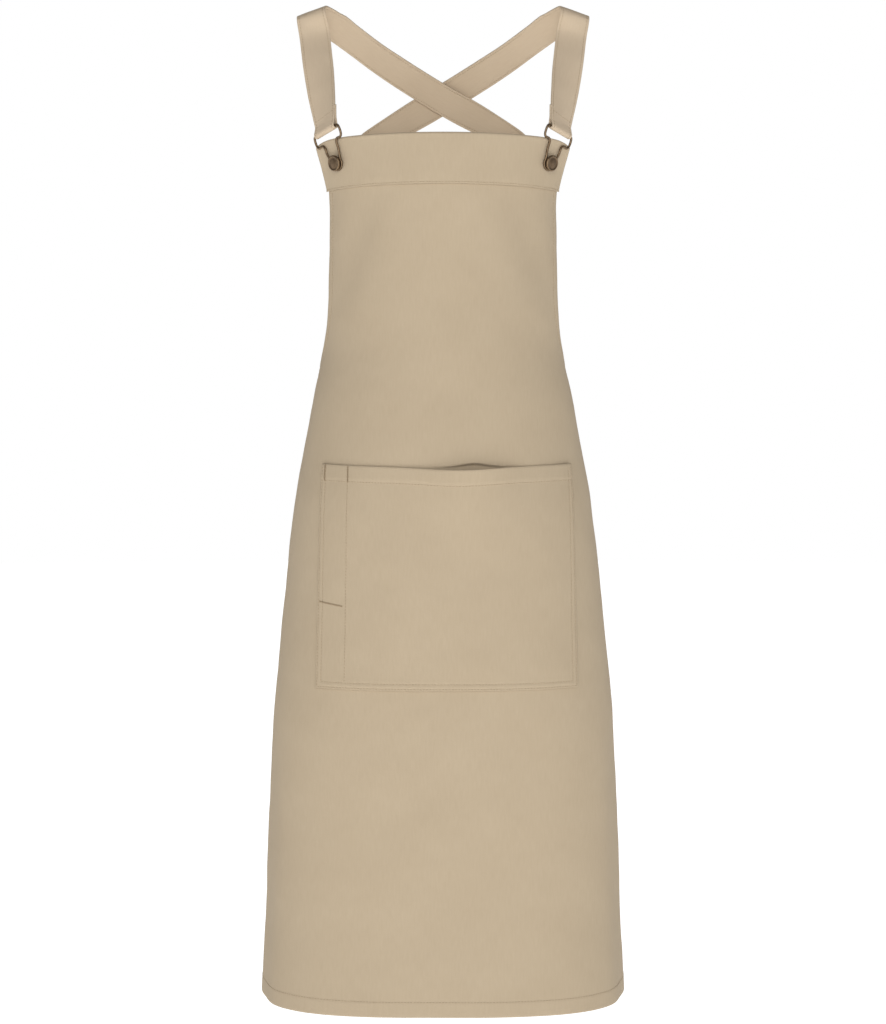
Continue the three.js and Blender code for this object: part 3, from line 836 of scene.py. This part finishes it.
def buckleFrame(side):
    seatAside = side * buckleSizes["buttonAside"]
    seatZ = bibTop - buckleSizes["buttonBelowBib"]
    origin = onForm(seatAside, seatZ)[0]
    out = trueNormal(seatAside, seatZ)
    shoulder = Vector((side * strapSizes["shoulderAside"], strapSizes["shoulderBack"], 0))
    up = onto(shoulder - origin, out).normalized()
    up.rotate(Quaternion(out, side * buckleSizes["roll"] * degree))
    return {"origin": origin, "up": up, "aside": up.cross(out).normalized() * side, "out": out}


def inFrame(place, aside, up, out):
    return place["origin"] + place["aside"] * aside + place["up"] * up + place["out"] * out


def backPoint(turn, down):
    z = down * hemZ
    angle = math.pi - turn

    def at(a, height):
        flat = sectionPoint(sectionAt(height), a)
        return Vector((flat.x, flat.y, height))

    run = at(angle - degree, z) - at(angle + degree, z)
    rise = at(angle, z + probeStep) - at(angle, z - probeStep)
    return at(angle, z), rise.cross(run).normalized()


# the strap's middle line from its sewn end round the bar, over the shoulder to the skirt's corner
def strapLine(side, sizes):
    place = buckleFrame(side)
    bar = inFrame(place, 0, buckleSizes["height"], wireOut)
    slope = sizes["shoulderSlope"] * degree
    topZ = sizes["thickness"] / 2 - (sizes["width"] / 2) * math.sin(slope)
    top = Vector((side * sizes["shoulderAside"], sizes["shoulderBack"], topZ))
    pull = onto(top - bar, place["aside"]).normalized()
    facing = place["aside"].cross(pull).normalized() * -side
    if facing.dot(place["out"]) < 0:
        facing = -facing
    ply = sizes["thickness"] / 2 + form["pieceGap"] / 2
    turn = buckleSizes["wireRadius"] + form["pieceGap"] + sizes["thickness"] / 2
    meet = 4 * turn
    line = []

    def atBar(up, out, normal):
        line.append((bar + pull * up + facing * out, normal, 0))

    atBar(meet + sizes["foldBack"], -ply, -facing)
    atBar(meet + sizes["foldBack"] / 2, -ply, -facing)
    atBar(meet, -ply, -facing)
    atBar(meet / 2, -(ply + turn) / 2, -facing)
    for angle in (0, 45, 90, 135, 180):
        a = angle * degree
        atBar(-turn * math.sin(a), -turn * math.cos(a), facing * -math.cos(a) - pull * math.sin(a))
    atBar(meet / 2, (ply + turn) / 2, facing)
    atBar(meet, ply, facing)
    meeting = line[-1][0]
    for along, aside, forward, up in strapFront:
        line.append((meeting.lerp(top, along), Vector((side * aside, -forward, up)).normalized(), 0))
    for angle, inward in strapShoulder:
        back, up = math.sin(angle * degree), math.cos(angle * degree)
        x = side * (sizes["shoulderAside"] - inward * sizes["shoulderInward"])
        y = sizes["shoulderBack"] + sizes["shoulderRadius"] * back
        point = Vector((x, y, topZ - sizes["shoulderRadius"] * (1 - up)))
        line.append((point, Vector((side * math.tan(slope), back, up)), 0))
    crossingOut = sizes["thickness"] / 2 + sizes["crossingGap"] / 2
    for turnRound, down, hug in strapBack:
        point, normal = backPoint(-side * turnRound * degree, down)
        near = max(0, 1 - abs(turnRound) / sizes["crossingFade"])
        line.append((point + normal * side * crossingOut * min(1, 2 * near), normal, hug))
    endAside = form["cornerHalfFlat"] - sizes["width"] / 2 - sizes["endInset"]
    sewnOut = -form["cloth"] - form["layerGap"] - 2 * form["pieceGap"] - sizes["thickness"] / 2
    for below in strapSewnPlaces:
        point, normal = onForm(-side * endAside, cornerZ - below * sizes["sewnLength"], sewnOut)
        line.append((point, normal, 1))
    return line


def formRadius(point):
    angle = math.atan2(abs(point.x), -point.y)
    return sectionPoint(sectionAt(point.z), angle).length


# places along the strap with their frame, and the length walked to each
def strapFrames(side, sizes, each=9):
    line = strapLine(side, sizes)
    points = [p for p, n, h in line]
    normals = [n for p, n, h in line]
    count = (len(line) - 1) * each
    frames, walked = [], 0
    for i in range(count + 1):
        t = i / count
        point = smoothWay(points, t)
        along = (smoothWay(points, min(1, t + 1e-4)) - smoothWay(points, max(0, t - 1e-4))).normalized()
        normal = onto(smoothWay(normals, t), along).normalized()
        low = min(i // each, len(line) - 2)
        hug = line[low][2] + (line[low + 1][2] - line[low][2]) * (i / each - low)
        if frames:
            walked += (point - frames[-1]["point"]).length
        frames.append({
            "point": point, "normal": normal, "hug": hug, "across": along.cross(normal),
            "layer": math.hypot(point.x, point.y) - formRadius(point), "walked": walked,
        })
    return frames


def strapPlace(frame, aside, out):
    place = frame["point"] + frame["across"] * aside
    level = Vector((place.x, place.y, 0))
    moved = frame["hug"] * (formRadius(place) + frame["layer"] - level.length)
    return place + level.normalized() * moved + frame["normal"] * out


def strapRelief(aside, walked, sizes):
    inset = sizes["width"] / 2 - abs(aside)
    raised = 0.18 * smoothStep(0, 1.2, inset) - 0.3 * math.exp(-((inset - sizes["edgeSeam"]) / 0.7) ** 2)
    return raised + crumple(aside, walked, 14, 0.22) + crumple(aside, walked + 500, 45, 0.5)


def makeStrap(side, word, sizes):
    frames = strapFrames(side, sizes)
    half = sizes["width"] / 2
    seams = (sizes["edgeSeam"] - half, half - sizes["edgeSeam"])
    columns = spreadPlaces(-half, half, 2.4, [-half, *seams, half], 0.55, 1.2)

    def place(aside, row):
        walked = frames[row]["walked"]
        out = sizes["thickness"] / 2 + strapRelief(aside, walked, sizes)
        return strapPlace(frames[row], aside, out), (aside, walked)

    name = f"strap_{word}_cloth"
    count = len(frames)
    strap = clothSheet(name, columns, range(count), place, sizes["thickness"], strapTwill)
    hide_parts(f"strap_{word}")

    def stitchAt(f, aside, face=1):
        out = face * sizes["thickness"] / 2
        if face > 0:
            out += strapRelief(aside, f["walked"], sizes)
        return strapPlace(f, aside, out + face * 0.06), f["normal"] * face

    rows = [[stitchAt(f, aside, face) for f in frames[2:-2]] for aside in seams for face in (1, -1)]
    loop = next(f for f in frames if f["walked"] > sizes["loopSeam"])
    rows.append([stitchAt(loop, (i / 12 - 0.5) * (sizes["width"] - 4)) for i in range(13)])
    thread = threadPiece(f"strap_{word}_thread", rows, seamThread)
    return strap


# half of the wire, from the middle of its bar to the neck: shares of its half width and height
buckleHalf = [
    (0.00, 1.00), (0.48, 1.00), (0.93, 0.99), (1.00, 0.90), (0.98, 0.70),
    (0.88, 0.64), (0.58, 0.64), (0.48, 0.56), (0.46, 0.36),
]


def makeBuckle(side, word, sizes):
    place = buckleFrame(side)
    half = [(a * sizes["aside"], u * sizes["height"]) for a, u in buckleHalf]
    half += [(loopRadius * math.cos(a * degree), loopRadius * math.sin(a * degree)) for a in (20, -20, -55)]
    whole = half + [(0, -loopRadius)] + [(-a, u) for a, u in reversed(half[1:])]
    points = [inFrame(place, a, u, wireOut) for a, u in whole]
    curve = bpy.data.curves.new("wire", "CURVE")
    curve.dimensions = "3D"
    curve.bevel_depth = sizes["wireRadius"] * mm
    curve.bevel_resolution = 4
    spline = curve.splines.new("POLY")
    steps = 200
    spline.points.add(steps - 1)
    for i in range(steps):
        spline.points[i].co = (*(smoothWay(points, i / steps, True) * mm), 1)
    spline.use_cyclic_u = True
    holder = bpy.data.objects.new("wire", curve)
    scene.collection.objects.link(holder)
    bpy.context.view_layer.update()
    mesh = bpy.data.meshes.new_from_object(holder.evaluated_get(bpy.context.evaluated_depsgraph_get()))
    bpy.data.objects.remove(holder)
    wire = newPiece(f"buckle_{word}_wire", mesh, buckleBrass)
    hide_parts(f"buckle_{word}")
    return wire


def buttonProfile(sizes):
    tackFace = -(2 * form["cloth"] + form["layerGap"]) - 2 * form["pieceGap"]
    seat = bandOut + form["pieceGap"]
    foot = seat + sizes["neckLength"]
    top = foot + sizes["headThickness"]
    head, thick = sizes["headRadius"], sizes["headThickness"]
    tack, tackThick = sizes["tackRadius"], sizes["tackThickness"]
    post, neck = sizes["postRadius"], sizes["neckRadius"]
    return [
        (0, tackFace - tackThick), (tack * 0.85, tackFace - tackThick),
        (tack, tackFace - tackThick * 0.6), (tack, tackFace), (post, tackFace), (post, seat), (neck, seat),
        (neck, foot - 0.5), (neck + 0.5, foot), (head * 0.93, foot),
        (head * 0.985, foot + thick * 0.12), (head, foot + thick * 0.35), (head, foot + thick * 0.6),
        (head * 0.975, foot + thick * 0.8), (head * 0.92, top - thick * 0.06), (head * 0.86, top),
        (head * 0.80, top - thick * 0.05), (head * 0.76, top - thick * 0.18),
        (head * 0.72, top - thick * 0.22), (head * 0.55, top - thick * 0.14),
        (head * 0.35, top - thick * 0.06), (head * 0.15, top - thick * 0.02), (0, top),
    ]


def makeButton(side, word, sizes):
    place = buckleFrame(side)
    bm = bmesh.new()
    profile = [bm.verts.new((r * mm, 0, h * mm)) for r, h in buttonProfile(sizes)]
    edges = [bm.edges.new(pair) for pair in zip(profile, profile[1:])]
    bmesh.ops.spin(bm, geom=profile + edges, cent=(0, 0, 0), axis=(0, 0, 1), angle=2 * math.pi, steps=48,
                   use_merge=True)
    bmesh.ops.remove_doubles(bm, verts=bm.verts, dist=1e-6)
    bmesh.ops.recalc_face_normals(bm, faces=bm.faces)
    turn = Vector((0, 0, 1)).rotation_difference(place["out"]).to_matrix().to_4x4()
    bmesh.ops.transform(bm, matrix=Matrix.Translation(place["origin"] * mm) @ turn, verts=bm.verts)
    button = newPiece(f"button_{word}_metal", meshOf(bm, "button"), buckleBrass)
    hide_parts(f"button_{word}")
    return button


for side, word in ((-1, "left"), (1, "right")):
    makeBuckle(side, word, buckleSizes)
    makeButton(side, word, buckleSizes)
    makeStrap(side, word, strapSizes)
print("straps, buckles and buttons ready")

# Studio: a pale floor, a white surround and soft lights

studio = {
    "floorDown": 1250,
    "floorRadius": 9,
    "floorGlow": 0.9,
    "surround": 0.27,
    "aimDown": 0.52,
    "lights": [
        # name, place, width, height, watts
        ("front", (0, -3.6, 0.4), 1.5, 2.2, 62),
        ("left", (-2.2, 1.3, -0.4), 0.5, 2.2, 4),
        ("right", (2.2, 1.3, -0.4), 0.5, 2.2, 4),
    ],
}


def makeFloor(sizes):
    bm = bmesh.new()
    bmesh.ops.create_circle(bm, cap_ends=True, segments=64, radius=sizes["floorRadius"])
    bmesh.ops.translate(bm, verts=bm.verts, vec=(0, 0, -sizes["floorDown"] * mm))
    floor = bpy.data.objects.new("floor", meshOf(bm, "floor"))
    scene.collection.objects.link(floor)
    # matt and almost white, with a glow that hides the horizon
    paper, _, shader = newMaterial("white studio paper")
    setInputs(shader, {
        "Base Color": toLinear("#fbfbfb"), "Roughness": 0.95,
        "Emission Color": (1, 1, 1, 1), "Emission Strength": sizes["floorGlow"],
    })
    floor.data.materials.append(paper)


def makeSurround(sizes):
    world = bpy.data.worlds.new("white surround")
    scene.world = world
    world.use_nodes = True
    tree = world.node_tree
    tree.nodes.clear()
    seen = addNode(tree, "ShaderNodeBackground", {"Color": (1, 1, 1, 1), "Strength": 1.0})
    lit = addNode(tree, "ShaderNodeBackground", {"Color": (1, 1, 1, 1), "Strength": sizes["surround"]})
    path = addNode(tree, "ShaderNodeLightPath")
    mixed = addNode(tree, "ShaderNodeMixShader", None, {
        0: path.outputs["Is Camera Ray"], 1: lit.outputs[0], 2: seen.outputs[0],
    })
    addNode(tree, "ShaderNodeOutputWorld", None, {"Surface": mixed.outputs[0]})


def makeLights(sizes):
    aim = Vector((0, 0, -sizes["aimDown"]))
    for name, place, width, height, watts in sizes["lights"]:
        data = bpy.data.lights.new(name, "AREA")
        data.shape = "RECTANGLE"
        data.size = width
        data.size_y = height
        data.energy = watts
        light = bpy.data.objects.new(name, data)
        scene.collection.objects.link(light)
        light.location = place
        light.rotation_euler = (aim - Vector(place)).to_track_quat("-Z", "Y").to_euler()


makeFloor(studio)
makeSurround(studio)
makeLights(studio)
scene.view_settings.view_transform = "Standard"
print("studio ready")
